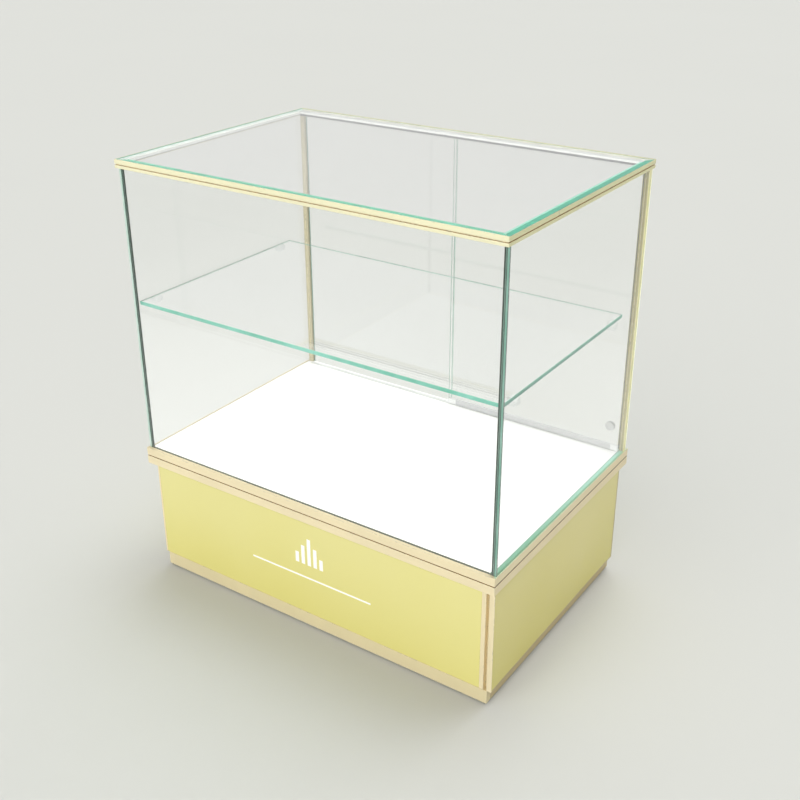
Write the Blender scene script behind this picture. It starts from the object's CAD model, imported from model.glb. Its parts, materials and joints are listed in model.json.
import json
import math

import bmesh
import bpy
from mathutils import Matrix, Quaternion, Vector


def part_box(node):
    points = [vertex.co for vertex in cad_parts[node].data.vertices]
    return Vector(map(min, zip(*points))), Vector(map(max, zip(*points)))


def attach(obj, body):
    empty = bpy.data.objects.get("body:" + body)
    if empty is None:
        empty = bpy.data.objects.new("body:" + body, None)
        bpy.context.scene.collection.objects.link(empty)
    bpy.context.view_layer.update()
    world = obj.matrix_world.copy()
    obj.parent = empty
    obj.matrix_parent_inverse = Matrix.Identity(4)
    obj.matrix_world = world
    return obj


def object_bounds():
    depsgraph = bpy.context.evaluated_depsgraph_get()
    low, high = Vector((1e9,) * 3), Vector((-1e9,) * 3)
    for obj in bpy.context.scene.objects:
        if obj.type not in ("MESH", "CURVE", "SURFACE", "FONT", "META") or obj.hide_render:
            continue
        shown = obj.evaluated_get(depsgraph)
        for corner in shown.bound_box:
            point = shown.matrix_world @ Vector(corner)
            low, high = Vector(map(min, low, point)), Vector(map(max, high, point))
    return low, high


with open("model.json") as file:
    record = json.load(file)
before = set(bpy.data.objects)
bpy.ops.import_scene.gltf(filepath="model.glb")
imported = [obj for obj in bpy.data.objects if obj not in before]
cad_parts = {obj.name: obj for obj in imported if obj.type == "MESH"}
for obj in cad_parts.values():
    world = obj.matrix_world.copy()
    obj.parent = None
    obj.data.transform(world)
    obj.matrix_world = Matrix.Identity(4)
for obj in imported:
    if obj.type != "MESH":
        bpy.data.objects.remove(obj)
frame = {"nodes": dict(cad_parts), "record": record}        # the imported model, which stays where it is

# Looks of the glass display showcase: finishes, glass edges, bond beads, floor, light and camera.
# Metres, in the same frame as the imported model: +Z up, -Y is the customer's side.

CAD_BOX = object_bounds()
MM = 0.001

# Camera: where it stands, which way it looks, and how far the picture is shifted downwards
CAMERA_PLACE = Vector((1.2438, -1.7758, 1.5162))
CAMERA_AZIMUTH = math.radians(34.222)
CAMERA_ELEVATION = math.radians(25.380)
CAMERA_ROLL = math.radians(-0.147)
CAMERA_LENS = 49.445
CAMERA_SHIFT = -0.0252

# Light: an even dome, and soft glows that are summed over it
DOME = 0.15
GLOWS = (
    # towards, sharpness, strength
    ((0.0, -1.0, 0.1), 3.0, 3.33),
    ((-0.7, 0.7, 0.3), 3.0, 0.62),
    ((0.1, 0.5, 0.85), 8.0, 3.92),
)
# What is seen of the dome, directly or through glass, and the limits of what is mirrored of it
BACKDROP = 0.78
MIRROR_LOW = 0.45
MIRROR_HIGH = 0.80
LIGHT_BAR_POWER = 0.12
FLOOR_SIZE = 80.0
FLOOR_COLOUR = (0.592, 0.598, 0.568)

# Bevels, by kind of piece
BOARD_EDGE = 0.6 * MM
METAL_EDGE = 0.35 * MM
SMALL_EDGE = 0.15 * MM
GLASS_ARRIS = 0.7 * MM
WELD_GAP = 0.01 * MM
SHARP = math.radians(35)
FLAT = math.radians(1)

# Green strip on the deck at the foot of the right pane, and the darker line along its inner side
EDGE_STRIP = 9.2 * MM
EDGE_STRIP_LINE = 1.6 * MM
# Widths of painted lines: front edge of the deck, top track, light bars, front right corner
FRONT_LINE = 1.3 * MM
TRACK_SEAL = 5.0 * MM
BAR_LINE = 1.6 * MM
CORNER_LINE = 2.0 * MM
DECK_GLOW = 0.15

# Tests for faces: how square a face looks along an axis, and how near it is to a level
FACING = 0.9
ON_LEVEL = 0.2 * MM
BAR_LEDGE = 6 * MM
# Shadow grooves: their middle below the top of their rails, their half height and their depth
CABINET_GROOVE_DROP = 1 * MM
TOP_GROOVE_DROP = 10 * MM
GROOVE_HALF = 1.1 * MM
GROOVE_DEEP = 5.5 * MM
GROOVE_SHALLOW = 0.5 * MM
# Hairline joint of the right top rail: its faces lie this far in from the outer face
JOINT_NEAR = 0.1 * MM
JOINT_FAR = 0.7 * MM

BEAD_LEG = 6.0 * MM
BEAD_DEPTH = 1.2 * MM
BEAD_STEPS = 6

# Faint film on the wall panes that catches the light of the lit deck: strength, and heights
FILM = 0.034
FILM_LOW = 0.35
FILM_HIGH = 0.80

CHAMPAGNE = (0.85, 0.735, 0.488)
# Tints of the same metal on some of the pieces, by the start of their names
TINTS = {
    "top_rail_right": (0.76, 0.74, 0.45),
    "top_rail_back": (0.50, 0.48, 0.25),
    "top_rail": (0.85, 0.81, 0.55),
    "rear_post_right": (0.37, 0.315, 0.10),
    "rear_post_left": (0.56, 0.50, 0.33),
    "plinth_front": (0.79, 0.69, 0.43),
}
BRONZE_SHADE = (0.52, 0.43, 0.23)
# Shade inside the shadow grooves, by the start of the names of the pieces
GROOVE_SHADES = {
    "top_rail": (0.50, 0.34, 0.13),
    "cabinet_rail": (0.32, 0.17, 0.04),
    "cabinet_side_rails": (0.09, 0.035, 0.008),
    "deck": (0.20, 0.10, 0.025),
}
YELLOW = (0.70, 0.645, 0.238)
YELLOW_LOW = (0.69, 0.63, 0.205)
YELLOW_HIGH = (0.715, 0.665, 0.275)
SIDE_YELLOW_LOW = (0.69, 0.62, 0.165)
SIDE_YELLOW_HIGH = (0.785, 0.705, 0.275)
PALE_GREEN = (0.11, 0.50, 0.33)
LEDGE_GREEN = (0.10, 0.58, 0.37)
SIDE_GREEN = (0.0, 0.44, 0.26)
FOOT_GREEN = (0.045, 0.38, 0.19)
DULL_GREEN = (0.15, 0.32, 0.25)
MINT = (0.45, 0.60, 0.52)
DARK_LINE = (0.075, 0.095, 0.08)
OLIVE_LINE = (0.09, 0.11, 0.05)
WHITE = (0.93, 0.93, 0.91)


class Finish:
    """A node material in the making: a Principled shader and short ways to add patterns to it."""

    def __init__(self, name, colour, roughness, **more):
        self.material = bpy.data.materials.new(name)
        self.material.use_nodes = True
        self.tree = self.material.node_tree
        self.shader = self.tree.nodes["Principled BSDF"]
        self.output = self.tree.nodes["Material Output"]
        self.place = self.tree.nodes.new("ShaderNodeTexCoord").outputs["Object"]
        self.put("Base Color", (*colour, 1.0))
        self.put("Roughness", roughness)
        for socket, value in more.items():
            self.put(socket.replace("_", " ").title().replace("Ior", "IOR"), value)

    def node(self, kind, settings=(), inputs=()):
        """A new node, with its settings and the values or links of its inputs."""
        made = self.tree.nodes.new(kind)
        for name, value in dict(settings).items():
            setattr(made, name, value)
        for name, value in dict(inputs).items():
            self.feed(made.inputs[name], value)
        return made

    def feed(self, target, value):
        if isinstance(value, bpy.types.NodeSocket):
            self.tree.links.new(value, target)
        else:
            target.default_value = value

    def put(self, socket, value):
        """Sets or links an input of the main shader."""
        self.feed(self.shader.inputs[socket], value)

    def noise(self, size, stretch=(1, 1, 1), detail=3.0, shift=0.0):
        """Soft noise with spots of about this size, in metres, drawn out along an axis by stretch."""
        scale = tuple(1.0 / (size * s) for s in stretch)
        placed = self.node("ShaderNodeMapping", inputs={
            "Vector": self.place, "Scale": scale, "Location": (shift, shift, shift)})
        made = self.node("ShaderNodeTexNoise", inputs={
            "Vector": placed.outputs["Vector"], "Scale": 1.0, "Detail": detail})
        return made.outputs["Fac"]

    def cells(self, size):
        """Small cells of about this size, in metres, as the distance to each one's centre."""
        made = self.node("ShaderNodeTexVoronoi", inputs={"Vector": self.place, "Scale": 1.0 / size})
        return made.outputs["Distance"]

    def between(self, factor, low, high, start=0.3, end=0.7):
        """A value that goes from low to high as factor goes from start to end."""
        made = self.node("ShaderNodeMapRange", inputs={
            "Value": factor, "From Min": start, "From Max": end, "To Min": low, "To Max": high})
        return made.outputs["Result"]

    def blend(self, factor, first, second):
        """A colour between two colours."""
        made = self.node("ShaderNodeMix", {"data_type": "RGBA"})
        self.feed(made.inputs["Factor"], factor)
        for index, colour in ((6, first), (7, second)):
            self.feed(made.inputs[index], colour if not isinstance(colour, tuple) else (*colour[:3], 1.0))
        return made.outputs[2]

    def math(self, operation, first, second=0.0):
        made = self.node("ShaderNodeMath", {"operation": operation})
        self.feed(made.inputs[0], first)
        self.feed(made.inputs[1], second)
        return made.outputs[0]

    def bump(self, height, depth, strength=1.0):
        """Relief from a height pattern, this many metres deep."""
        made = self.node("ShaderNodeBump", inputs={
            "Height": height, "Distance": depth, "Strength": strength})
        self.put("Normal", made.outputs["Normal"])

    def tone(self, colour, factor, spread):
        """Base colour that wanders a little to both sides of a colour."""
        dark = tuple(c * (1 - spread) for c in colour)
        light = tuple(min(1.0, c * (1 + spread)) for c in colour)
        self.put("Base Color", self.blend(self.between(factor, 0.0, 1.0), dark, light))


def tint_of(node):
    """Name and colour of the tint of a champagne metal piece."""
    for start, colour in TINTS.items():
        if node.startswith(start):
            return start, colour
    return "frame", CHAMPAGNE


def champagne_metal(name, colour, axis):
    """Pale gold anodised aluminium with fine drawing lines along one axis."""
    made = Finish(f"champagne_{name}_along_{axis}", colour, 0.4, metallic=0.3)
    stretch = tuple(60 if a == axis else 1 for a in "xyz")
    lines = made.noise(0.5 * MM, stretch, detail=2.0)
    clouds = made.noise(90 * MM)
    made.tone(colour, made.math("ADD", made.math("MULTIPLY", lines, 0.5),
                                made.math("MULTIPLY", clouds, 0.5)), 0.05)
    made.put("Roughness", made.between(lines, 0.34, 0.5))
    made.bump(lines, 0.02 * MM, 0.6)
    return made.material


def champagne_edge():
    """The same metal where edges are rubbed: lighter and smoother in patches."""
    made = Finish("champagne_rubbed_edge", CHAMPAGNE, 0.3, metallic=0.45)
    patches = made.noise(14 * MM, detail=5.0)
    rubbed = (0.86, 0.79, 0.60)
    made.put("Base Color", made.blend(made.between(patches, 0.0, 1.0, 0.45, 0.6), CHAMPAGNE, rubbed))
    made.put("Roughness", made.between(patches, 0.38, 0.22))
    made.bump(made.noise(1.5 * MM), 0.01 * MM, 0.5)
    return made.material


def yellow_lacquer(name, lower, upper):
    """Gloss lacquer on board: faint orange peel, slow changes of tone and a few wiping marks."""
    made = Finish(name, lower, 0.3, coat_weight=0.25, coat_roughness=0.2)
    low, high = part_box("front_panel")
    level = made.node("ShaderNodeSeparateXYZ", inputs={"Vector": made.place}).outputs["Z"]
    wander = made.between(made.noise(260 * MM, detail=1.0), -0.15, 0.15)
    rise = made.math("ADD", made.between(level, 0.0, 1.0, low.z, high.z), wander)
    made.put("Base Color", made.blend(rise, lower, upper))
    wiped = made.noise(180 * MM, detail=2.0, shift=3.0)
    made.put("Roughness", made.between(wiped, 0.28, 0.34))
    made.put("Coat Roughness", made.between(wiped, 0.18, 0.22))
    made.bump(made.noise(6 * MM, detail=0.0), 0.004 * MM, 0.2)
    return made.material


def lacquer_edge():
    """Lacquer over a rounded edge, where it is thinner and a little lighter."""
    made = Finish("yellow_lacquer_edge", YELLOW, 0.22, coat_weight=0.35)
    thin = tuple(min(1.0, c * 1.12) for c in YELLOW)
    made.put("Base Color", made.blend(made.between(made.noise(9 * MM), 0.0, 1.0), YELLOW, thin))
    made.bump(made.noise(3 * MM), 0.02 * MM, 0.3)
    return made.material


def laminate(name, colour, grain, roughness, spread):
    """Sheet laminate: a fine printed grain along X and an even, slightly pressed surface."""
    made = Finish(name, colour, roughness)
    fibres = made.noise(grain, (30, 30, 1), detail=4.0)
    made.tone(colour, made.math("ADD", made.math("MULTIPLY", fibres, 0.6),
                                made.math("MULTIPLY", made.noise(120 * MM), 0.4)), spread)
    made.put("Roughness", made.between(fibres, roughness - 0.05, roughness + 0.07))
    made.bump(made.noise(0.8 * MM, detail=2.0), 0.02 * MM, 0.4)
    return made.material


def satin_aluminium():
    """Clear anodised aluminium with drawing lines along X."""
    colour = (0.87, 0.87, 0.86)
    made = Finish("satin_aluminium", colour, 0.4, metallic=0.1)
    lines = made.noise(0.4 * MM, (60, 1, 1), detail=2.0)
    made.tone(colour, lines, 0.05)
    made.put("Roughness", made.between(lines, 0.3, 0.45))
    made.bump(lines, 0.02 * MM, 0.5)
    return made.material


def coated(name, colour, roughness):
    """Powder coating or moulded plastic: fine pebbled relief and a faint change of tone."""
    made = Finish(name, colour, roughness)
    made.tone(colour, made.noise(40 * MM), 0.02)
    made.put("Roughness", made.between(made.noise(6 * MM, shift=2.0), roughness - 0.06, roughness + 0.08))
    made.bump(made.cells(0.7 * MM), 0.02 * MM, 0.3)
    return made.material


def bright_metal(name, colour, roughness):
    """Turned or plated metal with small scratches in all directions."""
    made = Finish(name, colour, roughness, metallic=1.0)
    scratches = made.noise(1.2 * MM, (1, 1, 6), detail=6.0)
    made.tone(colour, made.noise(8 * MM), 0.06)
    made.put("Roughness", made.between(scratches, roughness, roughness + 0.12))
    made.bump(scratches, 0.01 * MM, 0.5)
    return made.material


def rubber(name, colour):
    """Cable jacket or grommet: matt, with a faint extrusion grain."""
    made = Finish(name, colour, 0.7)
    made.tone(colour, made.noise(5 * MM), 0.2)
    made.put("Roughness", made.between(made.noise(2 * MM, shift=1.0), 0.6, 0.85))
    made.bump(made.noise(0.4 * MM), 0.02 * MM, 0.5)
    return made.material


def diffuser():
    """Opal cover of the light bars, evenly lit with slightly weaker stretches."""
    colour = (1.0, 0.99, 0.95)
    made = Finish("light_diffuser", colour, 0.5, emission_color=(*colour, 1.0))
    chips = made.noise(16 * MM, detail=1.0)
    made.put("Emission Strength", made.between(chips, LIGHT_BAR_POWER * 0.9, LIGHT_BAR_POWER * 1.1))
    made.tone(colour, chips, 0.01)
    made.bump(made.noise(0.6 * MM), 0.02 * MM, 0.3)
    return made.material


def emblem_film():
    """Matt white vinyl with a faint leathery surface."""
    colour = (0.95, 0.95, 0.92)
    made = Finish("emblem_film", colour, 0.45)
    made.tone(colour, made.noise(20 * MM), 0.015)
    made.put("Roughness", made.between(made.noise(3 * MM, shift=4.0), 0.4, 0.55))
    made.bump(made.noise(1.0 * MM), 0.02 * MM, 0.4)
    return made.material


def let_light_through(made, clear, seen_through=0.0):
    """Bends what is seen, and lets lamp and bounced light pass straight, so what is inside is lit."""
    path = made.node("ShaderNodeLightPath")
    passing = made.math("MAXIMUM", path.outputs["Is Shadow Ray"], path.outputs["Is Diffuse Ray"])
    passing = made.math("MAXIMUM", passing, seen_through)
    open_way = made.node("ShaderNodeBsdfTransparent", inputs={"Color": (*clear, 1.0)})
    mix = made.node("ShaderNodeMixShader", inputs={"Fac": passing})
    made.tree.links.new(made.shader.outputs[0], mix.inputs[1])
    made.tree.links.new(open_way.outputs[0], mix.inputs[2])
    made.tree.links.new(mix.outputs[0], made.output.inputs["Surface"])


def clear_glass():
    """Float glass: clean, faintly green, with the slight waviness of drawn sheet."""
    made = Finish("clear_glass", (0.993, 0.998, 0.995), 0.0, transmission_weight=1.0, ior=1.5)
    made.bump(made.noise(350 * MM, detail=0.0), 0.05 * MM, 0.2)
    level = made.node("ShaderNodeSeparateXYZ", inputs={"Vector": made.place}).outputs["Z"]
    made.put("Emission Color", (1.0, 1.0, 1.0, 1.0))
    made.put("Emission Strength", made.between(level, FILM, 0.0, FILM_LOW, FILM_HIGH))
    let_light_through(made, (0.99, 1.0, 0.995))
    return made.material


def glass_edge(name, colour, pale):
    """Ground and polished glass edge: green, and paler where it gathers light."""
    made = Finish(name, colour, 0.2, coat_weight=0.4, coat_roughness=0.1)
    streaks = made.noise(60 * MM, detail=4.0)
    made.put("Base Color", made.blend(made.between(streaks, 0.0, 1.0, 0.35, 0.65), colour, pale))
    made.put("Roughness", made.between(made.noise(2 * MM), 0.15, 0.3))
    made.bump(made.noise(0.5 * MM, detail=2.0), 0.01 * MM, 0.4)
    return made.material


def seen_in_glass(name, colour, pale, glow=0.0):
    """A face that is seen through a pane or its edge: even and without gloss of its own."""
    made = Finish(name, colour, 0.6, specular_ior_level=0.1)
    streaks = made.noise(60 * MM, detail=4.0)
    mixed = made.blend(made.between(streaks, 0.0, 1.0, 0.35, 0.65), colour, pale)
    made.put("Base Color", mixed)
    made.put("Roughness", made.between(made.noise(2 * MM), 0.5, 0.7))
    made.bump(made.noise(0.5 * MM, detail=2.0), 0.01 * MM, 0.3)
    made.put("Emission Color", mixed)
    made.put("Emission Strength", glow)
    return made.material


def corner_edge():
    """Front edge of the right pane: dull green, with the dark bond drawn along its inner side."""
    made = Finish("right_pane_front_edge", DULL_GREEN, 0.2, coat_weight=0.4, coat_roughness=0.1)
    across = made.node("ShaderNodeSeparateXYZ", inputs={"Vector": made.place}).outputs["X"]
    bond = made.math("LESS_THAN", across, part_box("right_glass")[0].x + CORNER_LINE)
    streaks = made.between(made.noise(60 * MM, detail=4.0), 0.0, 1.0, 0.35, 0.65)
    made.put("Base Color", made.blend(bond, made.blend(streaks, DULL_GREEN, (0.24, 0.42, 0.35)), DARK_LINE))
    made.put("Roughness", made.between(made.noise(2 * MM), 0.15, 0.3))
    made.bump(made.noise(0.5 * MM, detail=2.0), 0.01 * MM, 0.4)
    return made.material


def underlined(name, node, height, dark, glow):
    """White coated face with a dark line along its lower edge."""
    white = (0.93, 0.92, 0.90)
    made = Finish(name, white, 0.4, specular_ior_level=0.2)
    level = made.node("ShaderNodeSeparateXYZ", inputs={"Vector": made.place}).outputs["Z"]
    seal = made.math("LESS_THAN", level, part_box(node)[0].z + height)
    coat = made.blend(made.between(made.noise(9 * MM), 0.0, 1.0), tuple(c * 0.98 for c in white), white)
    made.put("Base Color", made.blend(seal, coat, dark))
    made.put("Roughness", made.between(made.noise(2 * MM), 0.35, 0.5))
    made.bump(made.cells(0.7 * MM), 0.02 * MM, 0.3)
    made.put("Emission Color", made.blend(seal, white, (0.0, 0.0, 0.0)))
    made.put("Emission Strength", glow)
    return made.material


def deck_laminate():
    """White sheet laminate, with the green foot of the right pane showing along its right edge."""
    made = Finish("deck_laminate", WHITE, 0.4)
    fibres = made.noise(0.9 * MM, (30, 30, 1), detail=4.0)
    split = made.node("ShaderNodeSeparateXYZ", inputs={"Vector": made.place})
    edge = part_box("deck_board")[1].x
    strip = made.math("GREATER_THAN", split.outputs["X"], edge - EDGE_STRIP)
    inner = made.math("LESS_THAN", split.outputs["X"], edge - EDGE_STRIP + EDGE_STRIP_LINE)
    grey = made.blend(made.between(fibres, 0.0, 1.0), tuple(c * 0.985 for c in WHITE), WHITE)
    front = made.math("LESS_THAN", split.outputs["Y"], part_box("deck_board")[0].y + FRONT_LINE)
    along = made.between(split.outputs["Y"], 0.0, 0.75, -0.15, 0.25)
    foot = made.blend(along, FOOT_GREEN, (0.42, 0.86, 0.70))
    foot = made.blend(inner, foot, (0.06, 0.24, 0.14))
    made.put("Base Color", made.blend(front, made.blend(strip, grey, foot), OLIVE_LINE))
    plain = made.math("SUBTRACT", 1.0, made.math("MAXIMUM", strip, front))
    made.put("Emission Color", (*WHITE, 1.0))
    made.put("Emission Strength", made.math("MULTIPLY", plain, DECK_GLOW))
    made.put("Roughness", made.between(fibres, 0.36, 0.46))
    made.bump(made.noise(0.8 * MM, detail=2.0), 0.01 * MM, 0.3)
    return made.material


def clear_acrylic():
    """Polished clear plastic block."""
    made = Finish("clear_acrylic", (0.97, 0.985, 0.98), 0.02, transmission_weight=1.0, ior=1.49)
    made.bump(made.noise(3 * MM), 0.01 * MM, 0.2)
    let_light_through(made, (0.97, 0.98, 0.98), 0.85)
    return made.material


def bond_bead():
    """Cured bond between two panes: a dark grey-green line with small changes of tone."""
    made = Finish("glass_bond", DARK_LINE, 0.25)
    made.tone(DARK_LINE, made.noise(25 * MM, (1, 1, 3)), 0.15)
    made.bump(made.noise(1.5 * MM), 0.03 * MM, 0.4)
    return made.material


def longest_axis(node):
    low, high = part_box(node)
    size = high - low
    return "xyz"[max(range(3), key=lambda i: size[i])]


def dress(node, finish, edge, width, segments=2):
    """Gives a CAD piece its finish and slightly rounded edges with a finish of their own."""
    piece = frame["nodes"][node]
    mesh = piece.data
    mesh.materials.clear()
    for material in (finish, edge or finish):
        mesh.materials.append(material)
    if "custom_normal" in mesh.attributes:
        mesh.attributes.remove(mesh.attributes["custom_normal"])
    weld = piece.modifiers.new("weld", "WELD")
    weld.merge_threshold = WELD_GAP
    bevel = piece.modifiers.new("edges", "BEVEL")
    bevel.width = width
    bevel.segments = segments
    bevel.limit_method = "ANGLE"
    bevel.angle_limit = SHARP
    bevel.material = 1
    bevel.harden_normals = False
    shade = piece.modifiers.new("shade", "WEIGHTED_NORMAL")
    shade.weight = 90
    return piece


def glaze(node, glass, edge):
    """Glass pane: clear on its two large faces, green on its ground edges and arrises."""
    piece = dress(node, glass, edge, GLASS_ARRIS, segments=1)
    low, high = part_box(node)
    size = high - low
    thin = min(range(3), key=lambda i: size[i])
    piece.modifiers.remove(piece.modifiers["shade"])
    flat = piece.modifiers.new("flat", "DECIMATE")
    flat.decimate_type = "DISSOLVE"
    flat.angle_limit = FLAT
    flat.delimit = {"MATERIAL"}
    piece.modifiers.move(len(piece.modifiers) - 1, 1)
    places = [vertex.co[thin] for vertex in piece.data.vertices]
    for face in piece.data.polygons:
        levels = [places[i] for i in face.vertices]
        face.use_smooth = False
        face.material_index = 0 if max(levels) - min(levels) < WELD_GAP else 1


def repaint(node, finish, chosen):
    """Gives a finish of its own to the faces of a dressed piece that chosen picks."""
    mesh = frame["nodes"][node].data
    mesh.materials.append(finish)
    for face in mesh.polygons:
        if chosen(face):
            face.material_index = len(mesh.materials) - 1


def facing(*directions):
    """Test for faces that look along any of these directions, such as "-y"."""
    def chosen(face):
        return any(float(way[0] + "1") * face.normal["xyz".index(way[1])] > FACING for way in directions)
    return chosen


def ledge_faces():
    """Ledges of the top frame and tops of the light bars, as they show through the top glass."""
    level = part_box("top_glass")[0].z
    front_ledge = seen_in_glass("front_ledge", LEDGE_GREEN, (0.15, 0.68, 0.46), 0.05)
    inner_ledge = seen_in_glass("inner_ledge", (0.30, 0.78, 0.60), (0.40, 0.84, 0.68))
    ledges = {
        "front": front_ledge,
        "right": seen_in_glass("side_ledge", SIDE_GREEN, (0.01, 0.50, 0.31), 0.06),
        "left": seen_in_glass("pale_ledge", (0.90, 0.98, 0.92), (0.92, 0.99, 0.95), 0.04),
        "back": seen_in_glass("cream_ledge", (0.95, 0.93, 0.81), (0.97, 0.95, 0.86), 0.03),
    }
    for side, finish in ledges.items():
        repaint("top_rail_" + side, finish,
                lambda face: face.normal.z > FACING and abs(face.center.z - level) < ON_LEVEL)
    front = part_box("light_bars")[0].y + BAR_LEDGE
    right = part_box("light_bars")[1].x - BAR_LEDGE
    bar_side = underlined("light_bar_side", "light_bars", BAR_LINE, (0.30, 0.29, 0.30), 0.05)
    repaint("light_bars", inner_ledge, lambda face: face.normal.z > FACING and face.center.x > right)
    repaint("light_bars", front_ledge, lambda face: face.normal.z > FACING and face.center.y < front)
    repaint("light_bars", bar_side, lambda face: face.normal.x > FACING and face.center.x < 0)


def pane_edges(bond):
    """Ground edges of the panes that look unlike the rest, each by what lies behind it."""
    mint = glass_edge("left_pane_edge", MINT, (0.55, 0.68, 0.61))
    repaint("front_glass", bond, facing("-x", "+x"))
    repaint("left_glass", mint, facing("-y"))
    repaint("right_glass", seen_in_glass("straw_edge", (0.90, 0.85, 0.58), (0.93, 0.89, 0.66), 0.38),
            facing("+y"))
    repaint("right_glass", corner_edge(), facing("-y"))
    repaint("sliding_door_glass", mint, facing("-x"))
    repaint("sliding_door_glass", coated("door_edge", (0.05, 0.05, 0.03), 0.3), facing("+x"))
    repaint("rear_fixed_glass", mint, facing("+x"))
    repaint("top_glass", seen_in_glass("olive_edge", (0.70, 0.69, 0.42), (0.76, 0.75, 0.50)), facing("+y"))
    repaint("top_glass", seen_in_glass("top_left_edge", (0.12, 0.44, 0.29), (0.2, 0.52, 0.37)), facing("-x"))


def shelf_edges():
    """Ground edges of the shelf: bright in front, duller on the right and behind."""
    repaint("shelf_glass", glass_edge("shelf_front_edge", (0.11, 0.44, 0.32), (0.22, 0.58, 0.47)),
            facing("-y"))
    repaint("shelf_glass", seen_in_glass("shelf_right_edge", (0.09, 0.32, 0.24), (0.14, 0.40, 0.31)),
            facing("+x"))
    repaint("shelf_glass", seen_in_glass("shelf_far_edges", (0.26, 0.33, 0.29), (0.36, 0.42, 0.38)),
            facing("-x", "+y"))


def door_faces():
    """Top track, shoe and finger pull of the sliding door."""
    repaint("top_track", underlined("track_front", "top_track", TRACK_SEAL, (0.08, 0.08, 0.078), 0.12),
            facing("-y"))
    repaint("door_shoe", coated("shoe_face", (0.49, 0.485, 0.49), 0.4), facing("-y"))
    repaint("finger_pull", coated("finger_pull_face", (0.49, 0.485, 0.48), 0.35), facing("-y"))
    repaint("finger_pull", coated("finger_pull_wall", (0.07, 0.07, 0.065), 0.4),
            lambda face: abs(face.normal.y) < 0.5)


def frame_faces(bond):
    """Sides of the metal and lacquered pieces: posts, side panel, deck lip, joint and grooves."""
    repaint("rear_post_right", seen_in_glass("post_side", (0.60, 0.57, 0.28), (0.66, 0.62, 0.34), 0.4),
            facing("+x"))
    repaint("side_panel_right", yellow_lacquer("side_lacquer", SIDE_YELLOW_LOW, SIDE_YELLOW_HIGH),
            facing("+x"))
    repaint("edge_trims", coated("bronze_shade", BRONZE_SHADE, 0.45), facing("+x"))
    repaint("deck_board", bond, facing("-y"))
    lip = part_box("deck_side_rails")[1].z
    repaint("deck_side_rails", seen_in_glass("deck_lip", (0.50, 0.66, 0.44), (0.58, 0.72, 0.50)),
            lambda face: face.normal.z > FACING and face.center.x > 0 and abs(face.center.z - lip) < ON_LEVEL)
    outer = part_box("top_rail_right")[1].x
    repaint("top_rail_right", bond, lambda face: JOINT_NEAR < outer - face.center.x < JOINT_FAR)
    for start, colour in GROOVE_SHADES.items():
        shade = coated(start + "_groove_shade", colour, 0.7)
        for node in frame["nodes"]:
            if node.startswith(start):
                repaint(node, shade, in_groove)


def special_faces(bond):
    """Faces that show through glass or lie in shade get finishes of their own."""
    ledge_faces()
    pane_edges(bond)
    shelf_edges()
    door_faces()
    frame_faces(bond)


def in_groove(face):
    """True for the inner faces of the shadow grooves in the outer faces of the frames."""
    low, high = CAD_BOX
    deep = min(face.center.x - low.x, high.x - face.center.x, face.center.y - low.y, high.y - face.center.y)
    levels = (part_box("cabinet_rail_front")[1].z - CABINET_GROOVE_DROP, high.z - TOP_GROOVE_DROP)
    near = min(abs(face.center.z - level) for level in levels)
    inner = abs(face.normal.z) > FACING or near < ON_LEVEL
    return inner and near < GROOVE_HALF and GROOVE_SHALLOW < deep < GROOVE_DEEP


def bead_mesh(name, corner, side, z0, z1, leg, depth):
    """Bead in an inner corner of two panes, hollowed towards the room."""
    shape = bmesh.new()
    x, y = corner
    outline = [(x, y)]
    for i in range(BEAD_STEPS + 1):
        turn = math.pi / 2 * i / BEAD_STEPS
        outline.append((x + side * leg * (1 - math.sin(turn)), y + depth * (1 - math.cos(turn))))
    rings = [[shape.verts.new((px, py, z)) for px, py in outline] for z in (z0, z1)]
    count = len(outline)
    for i in range(count):
        j = (i + 1) % count
        shape.faces.new((rings[0][i], rings[0][j], rings[1][j], rings[1][i]))
    shape.faces.new(rings[0])
    shape.faces.new(rings[1])
    bmesh.ops.recalc_face_normals(shape, faces=shape.faces)
    mesh = bpy.data.meshes.new(name)
    shape.to_mesh(mesh)
    shape.free()
    piece = bpy.data.objects.new(name, mesh)
    bpy.context.scene.collection.objects.link(piece)
    return piece


def glass_bonds(material):
    """Bond beads in the two front corners of the glass box."""
    front_low, front_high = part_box("front_glass")
    deck_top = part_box("deck_board")[1].z
    rail_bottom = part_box("top_rail_front")[0].z
    left_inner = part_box("left_glass")[1].x
    right_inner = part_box("right_glass")[0].x
    for name, x, side in (("left", left_inner, 1), ("right", right_inner, -1)):
        corner = (x, front_high.y)
        levels = (deck_top, rail_bottom)
        piece = bead_mesh("glass_bond_" + name, corner, side, *levels, BEAD_LEG, BEAD_DEPTH)
        piece.data.materials.append(material)
        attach(piece, "showcase")


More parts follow.
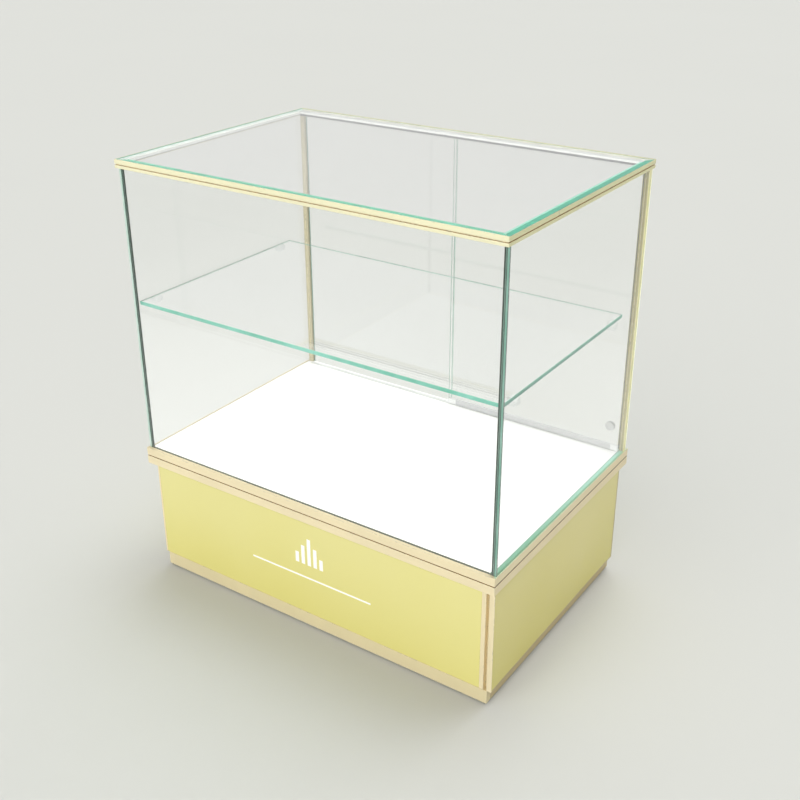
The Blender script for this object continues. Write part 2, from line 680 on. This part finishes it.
def dress_all():
    """Every CAD piece gets the finish of its material slot in the record."""
    slots = {part["node"]: part["material_slot"] for part in frame["record"]["subparts"]}
    drawn = {}
    rubbed = champagne_edge()
    glass = clear_glass()
    green = glass_edge("glass_polished_edge", PALE_GREEN, (0.26, 0.66, 0.50))
    dull = glass_edge("glass_wall_edge", DULL_GREEN, (0.30, 0.42, 0.36))
    bright_edges = ("top_glass", "shelf_glass")
    plain = {
        "yellow_lacquer": (yellow_lacquer("yellow_lacquer", YELLOW_LOW, YELLOW_HIGH), lacquer_edge(),
                           BOARD_EDGE),
        "plinth_laminate": (laminate("plinth_laminate", (0.56, 0.455, 0.245), 0.6 * MM, 0.45, 0.05),
                            None, BOARD_EDGE),
        "white_laminate": (deck_laminate(), None, BOARD_EDGE),
        "carcass_board": (laminate("carcass_board", (0.80, 0.79, 0.74), 0.7 * MM, 0.5, 0.03),
                          None, BOARD_EDGE),
        "clear_acrylic": (clear_acrylic(), None, METAL_EDGE),
        "light_diffuser": (diffuser(), None, METAL_EDGE),
        "white_coated_track": (coated("white_coated_track", (0.85, 0.85, 0.83), 0.4), None, METAL_EDGE),
        "satin_aluminium": (satin_aluminium(), None, METAL_EDGE),
        "white_plastic": (coated("white_plastic", (0.73, 0.73, 0.72), 0.3), None, METAL_EDGE),
        "emblem_film": (emblem_film(), None, 0.1 * MM),
        "polished_metal": (bright_metal("polished_metal", (0.72, 0.72, 0.70), 0.14), None, SMALL_EDGE),
        "zinc_steel": (bright_metal("zinc_steel", (0.62, 0.64, 0.66), 0.3), None, SMALL_EDGE),
        "driver_case": (coated("driver_case", (0.82, 0.82, 0.80), 0.5), None, METAL_EDGE),
        "cable_jacket": (rubber("cable_jacket", (0.02, 0.02, 0.02)), None, SMALL_EDGE),
    }
    for node, slot in slots.items():
        if slot == "clear_glass":
            glaze(node, glass, green if node in bright_edges else dull)
        elif slot == "champagne_metal":
            look = (*tint_of(node), longest_axis(node))
            if look not in drawn:
                drawn[look] = champagne_metal(*look)
            dress(node, drawn[look], rubbed, METAL_EDGE)
        else:
            dress(node, *plain[slot])
    special_faces(bond_bead())


def floor():
    """Plain pale floor that runs past the picture on all sides."""
    bpy.ops.mesh.primitive_plane_add(size=FLOOR_SIZE)
    plane = bpy.context.object
    plane.name = "floor"
    made = Finish("floor", FLOOR_COLOUR, 0.9, specular_ior_level=0.1)
    made.tone(FLOOR_COLOUR, made.noise(1.5, detail=2.0), 0.004)
    plane.data.materials.append(made.material)


def sky():
    """Soft studio dome, brighter in front and above, that looks pale and even to the eye."""
    world = bpy.data.worlds.new("studio")
    bpy.context.scene.world = world
    world.use_nodes = True
    tree = world.node_tree
    background = tree.nodes["Background"]
    direction = tree.nodes.new("ShaderNodeTexCoord").outputs["Generated"]

    def step(kind, first, second, operation, socket):
        made = tree.nodes.new(kind)
        made.operation = operation
        for target, value in zip(made.inputs, (first, second)):
            if isinstance(value, bpy.types.NodeSocket):
                tree.links.new(value, target)
            else:
                target.default_value = value
        return made.outputs[socket]

    def lobe(towards, sharpness, strength):
        facing = step("ShaderNodeVectorMath", direction, tuple(towards), "DOT_PRODUCT", "Value")
        ahead = step("ShaderNodeMath", facing, 0.0, "MAXIMUM", 0)
        shaped = step("ShaderNodeMath", ahead, sharpness, "POWER", 0)
        return step("ShaderNodeMath", shaped, strength, "MULTIPLY", 0)

    def choose(flag, first, second):
        gap = step("ShaderNodeMath", second, first, "SUBTRACT", 0)
        gap = step("ShaderNodeMath", gap, flag, "MULTIPLY", 0)
        return step("ShaderNodeMath", first, gap, "ADD", 0)

    strength = DOME
    for towards, sharpness, brightest in GLOWS:
        glow = lobe(Vector(towards).normalized(), sharpness, brightest)
        strength = step("ShaderNodeMath", glow, strength, "ADD", 0)
    path = tree.nodes.new("ShaderNodeLightPath").outputs
    mirrored = step("ShaderNodeMath", strength, MIRROR_LOW, "MAXIMUM", 0)
    mirrored = step("ShaderNodeMath", mirrored, MIRROR_HIGH, "MINIMUM", 0)
    strength = choose(path["Is Glossy Ray"], strength, mirrored)
    seen = step("ShaderNodeMath", path["Is Camera Ray"], path["Is Transmission Ray"], "MAXIMUM", 0)
    strength = choose(seen, strength, BACKDROP)
    tree.links.new(strength, background.inputs["Strength"])
    background.inputs["Color"].default_value = (1.0, 1.0, 0.995, 1.0)


def camera():
    """Camera from the front right, a little above the showcase."""
    data = bpy.data.cameras.new("camera")
    data.lens = CAMERA_LENS
    data.shift_y = CAMERA_SHIFT
    data.clip_end = FLOOR_SIZE
    piece = bpy.data.objects.new("camera", data)
    bpy.context.scene.collection.objects.link(piece)
    level = math.cos(CAMERA_ELEVATION)
    back = Vector((math.sin(CAMERA_AZIMUTH) * level, -math.cos(CAMERA_AZIMUTH) * level,
                   math.sin(CAMERA_ELEVATION)))
    piece.location = CAMERA_PLACE
    piece.rotation_mode = "QUATERNION"
    piece.rotation_quaternion = (-back).to_track_quat("-Z", "Y") @ Quaternion((0, 0, 1), CAMERA_ROLL)
    bpy.context.scene.camera = piece


def picture():
    """Plain colours, and enough bounces for rays that cross several panes."""
    scene = bpy.context.scene
    scene.view_settings.view_transform = "Standard"
    scene.cycles.max_bounces = 32
    scene.cycles.transmission_bounces = 32
    scene.cycles.transparent_max_bounces = 32
    scene.cycles.glossy_bounces = 8
    scene.cycles.diffuse_bounces = 4


dress_all()
glass_bonds(bond_bead())
floor()
sky()
camera()
picture()
